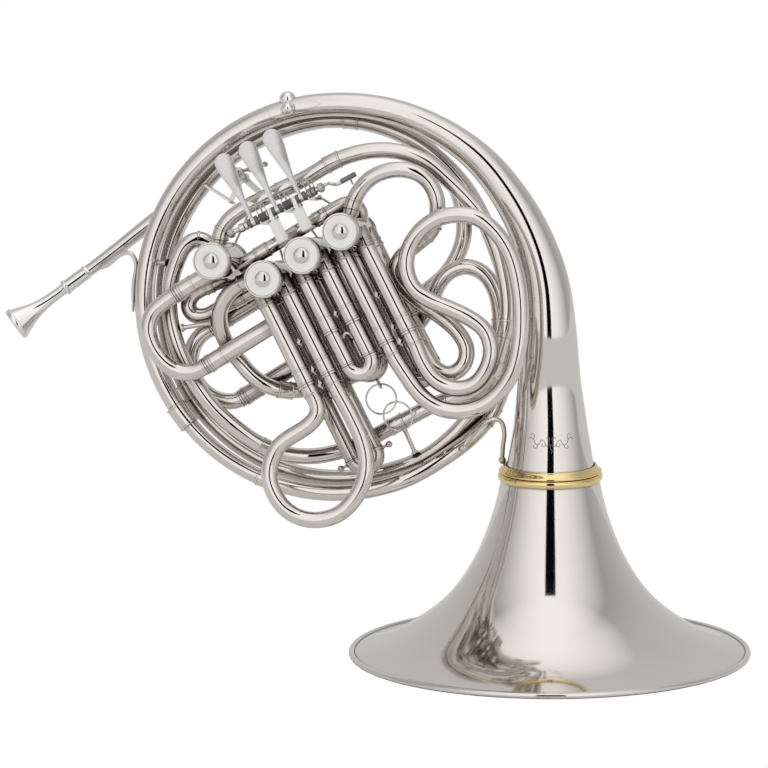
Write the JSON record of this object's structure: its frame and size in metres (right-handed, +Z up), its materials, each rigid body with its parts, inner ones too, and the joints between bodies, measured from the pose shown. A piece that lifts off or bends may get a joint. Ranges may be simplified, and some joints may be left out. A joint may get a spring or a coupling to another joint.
{
  "type": "french horn",
  "caption": "Double french horn with rotary valves, pull-out tuning slides, finger and thumb levers, a mouthpiece and a large bell that takes off at a brass ring, standing mouth down.",
  "frame": {"origin": "middle of the bell rim, on the flat plane that the rim rests on", "axes": "+Z up along the bell's axis, +X towards the bell side away from the mouthpiece, -Y towards the front, where the valve caps and finger levers are"},
  "size_m": [0.5846, 0.3098, 0.429],
  "materials": {
    "nickel": "polished nickel silver",
    "brass": "polished, lacquered",
    "steel": "fine turned",
    "cork": "matte cork or neoprene"
  },
  "bodies": {
    "horn_body": {"bell_socket": "brass", "bell_tail": "nickel", "tail_ferrule": "nickel", "first_branch": "nickel", "leadpipe": "nickel", "mouthpiece_receiver": "nickel", "upper_branch": "nickel", "lower_branch": "nickel", "third_valve_branch": "nickel", "first_valve_branch": "nickel", "thumb_valve_crook": "nickel", "cross_tube": "nickel", "thumb_casing": "nickel", "first_casing": "nickel", "second_casing": "nickel", "third_casing": "nickel", "valve_caps": "nickel", "bearing_plates": "nickel", "stop_corks": "cork", "front_sleeves": "nickel", "rear_sleeves": "nickel", "lever_axle": "steel", "lever_springs": "steel", "lever_brackets": "nickel", "thumb_post": "steel", "leadpipe_brace": "nickel", "bell_brace": "nickel", "tube_braces": "nickel", "top_fitting": "nickel"},
    "bell": {"bell_flare": "nickel", "bell_collar": "brass"},
    "mouthpiece": {"mouthpiece": "nickel"},
    "thumb_rotor": {"thumb_rotor": "brass", "thumb_stop_arm": "steel"},
    "first_rotor": {"first_rotor": "brass", "first_stop_arm": "steel"},
    "second_rotor": {"second_rotor": "brass", "second_stop_arm": "steel"},
    "third_rotor": {"third_rotor": "brass", "third_stop_arm": "steel"},
    "first_lever": {"first_lever": "nickel"},
    "second_lever": {"second_lever": "nickel"},
    "third_lever": {"third_lever": "nickel"},
    "thumb_lever": {"thumb_lever": "nickel"},
    "first_link": {"first_link": "steel"},
    "second_link": {"second_link": "steel"},
    "third_link": {"third_link": "steel"},
    "thumb_link": {"thumb_link": "steel"},
    "main_tuning_slide": {"main_tuning_slide": "nickel"},
    "rear_tuning_slide": {"rear_tuning_slide": "nickel"},
    "first_slide": {"first_slide": "nickel"},
    "second_slide": {"second_slide": "nickel"},
    "third_slide": {"third_slide": "nickel"},
    "first_rear_slide": {"first_rear_slide": "nickel"},
    "second_rear_slide": {"second_rear_slide": "nickel"},
    "third_rear_slide": {"third_rear_slide": "nickel"},
    "pull_rings": {"upper_pull_ring": "nickel", "lower_pull_ring": "nickel"}
  },
  "joints": [
    {"name": "bell_take_off", "type": "slide", "parent": "horn_body", "child": "bell", "axis": [0, 0, -1], "range_m": [0, 0.05]},
    {"name": "mouthpiece_pull", "type": "slide", "parent": "horn_body", "child": "mouthpiece", "axis": [-0.7732, -0.248, -0.5836], "range_m": [0, 0.03]},
    {"name": "thumb_rotor_turn", "type": "hinge", "parent": "horn_body", "child": "thumb_rotor", "pos_m": [-0.2524, -0.00573, 0.30113], "axis": [0, 0.9799, -0.1994], "range_deg": [0, 90]},
    {"name": "first_rotor_turn", "type": "hinge", "parent": "horn_body", "child": "first_rotor", "pos_m": [-0.212, -0.00823, 0.28888], "axis": [0, 0.9799, -0.1994], "range_deg": [0, 90]},
    {"name": "second_rotor_turn", "type": "hinge", "parent": "horn_body", "child": "second_rotor", "pos_m": [-0.18256, -0.00441, 0.30762], "axis": [0, 0.9799, -0.1994], "range_deg": [0, 90]},
    {"name": "third_rotor_turn", "type": "hinge", "parent": "horn_body", "child": "third_rotor", "pos_m": [-0.15313, -0.0006, 0.32635], "axis": [0, 0.9799, -0.1994], "range_deg": [0, 90]},
    {"name": "first_lever_press", "type": "hinge", "parent": "horn_body", "child": "first_lever", "pos_m": [-0.22358, -0.04263, 0.34047], "axis": [-0.8788, -0.0951, -0.4676], "range_deg": [0, 10], "stiffness_Nm_per_rad": 0.35, "springref_deg": -20.05},
    {"name": "first_link_swing", "type": "hinge", "parent": "first_lever", "child": "first_link", "pos_m": [-0.22121, 0.02426, 0.32818], "axis": [0.8788, 0.0951, 0.4676], "range_deg": [0, 10]},
    {"name": "second_lever_press", "type": "hinge", "parent": "horn_body", "child": "second_lever", "pos_m": [-0.2053, -0.04065, 0.3502], "axis": [-0.8788, -0.0951, -0.4676], "range_deg": [0, 10], "stiffness_Nm_per_rad": 0.35, "springref_deg": -20.05},
    {"name": "second_link_swing", "type": "hinge", "parent": "second_lever", "child": "second_link", "pos_m": [-0.20293, 0.02624, 0.3379], "axis": [0.8788, 0.0951, 0.4676], "range_deg": [0, 10]},
    {"name": "third_lever_press", "type": "hinge", "parent": "horn_body", "child": "third_lever", "pos_m": [-0.18702, -0.03867, 0.35992], "axis": [-0.8788, -0.0951, -0.4676], "range_deg": [0, 10], "stiffness_Nm_per_rad": 0.35, "springref_deg": -20.05},
    {"name": "third_link_swing", "type": "hinge", "parent": "third_lever", "child": "third_link", "pos_m": [-0.18465, 0.02822, 0.34763], "axis": [0.8788, 0.0951, 0.4676], "range_deg": [0, 10]},
    {"name": "thumb_lever_press", "type": "hinge", "parent": "horn_body", "child": "thumb_lever", "pos_m": [-0.2442, 0.02494, 0.36163], "axis": [0, -0.9799, 0.1994], "range_deg": [0, 20], "stiffness_Nm_per_rad": 0.05, "springref_deg": -28.65},
    {"name": "thumb_link_swing", "type": "hinge", "parent": "thumb_lever", "child": "thumb_link", "pos_m": [-0.2327, 0.02763, 0.35129], "axis": [0, 0.9799, -0.1994], "range_deg": [0, 20]},
    {"name": "main_tuning_pull", "type": "slide", "parent": "horn_body", "child": "main_tuning_slide", "axis": [-0.8387, -0.1086, -0.5337], "range_m": [0, 0.02]},
    {"name": "rear_tuning_pull", "type": "slide", "parent": "horn_body", "child": "rear_tuning_slide", "axis": [-0.8387, -0.1086, -0.5337], "range_m": [0, 0.009]},
    {"name": "first_slide_pull", "type": "slide", "parent": "horn_body", "child": "first_slide", "axis": [0.4818, -0.1747, -0.8587], "range_m": [0, 0.03]},
    {"name": "second_slide_pull", "type": "slide", "parent": "horn_body", "child": "second_slide", "axis": [0.4818, -0.1747, -0.8587], "range_m": [0, 0.03]},
    {"name": "third_slide_pull", "type": "slide", "parent": "horn_body", "child": "third_slide", "axis": [0.4818, -0.1747, -0.8587], "range_m": [0, 0.03]},
    {"name": "first_rear_slide_pull", "type": "slide", "parent": "horn_body", "child": "first_rear_slide", "axis": [0.4818, -0.1747, -0.8587], "range_m": [0, 0.03]},
    {"name": "second_rear_slide_pull", "type": "slide", "parent": "horn_body", "child": "second_rear_slide", "axis": [0.4818, -0.1747, -0.8587], "range_m": [0, 0.02]},
    {"name": "third_rear_slide_pull", "type": "slide", "parent": "horn_body", "child": "third_rear_slide", "axis": [0.4818, -0.1747, -0.8587], "range_m": [0, 0.03]},
    {"name": "pull_ring_swing", "type": "hinge", "parent": "second_rear_slide", "child": "pull_rings", "pos_m": [-0.1295, -0.0217, 0.21263], "axis": [0.8763, 0.096, 0.4721], "range_deg": [-40, 1]}
  ],
  "couplings": [
    {"joint": "first_rotor_turn", "follows": "first_lever_press", "ratio": 9},
    {"joint": "first_link_swing", "follows": "first_lever_press", "ratio": 1},
    {"joint": "second_rotor_turn", "follows": "second_lever_press", "ratio": 9},
    {"joint": "second_link_swing", "follows": "second_lever_press", "ratio": 1},
    {"joint": "third_rotor_turn", "follows": "third_lever_press", "ratio": 9},
    {"joint": "third_link_swing", "follows": "third_lever_press", "ratio": 1},
    {"joint": "thumb_rotor_turn", "follows": "thumb_lever_press", "ratio": 4.5},
    {"joint": "thumb_link_swing", "follows": "thumb_lever_press", "ratio": 1}
  ]
}
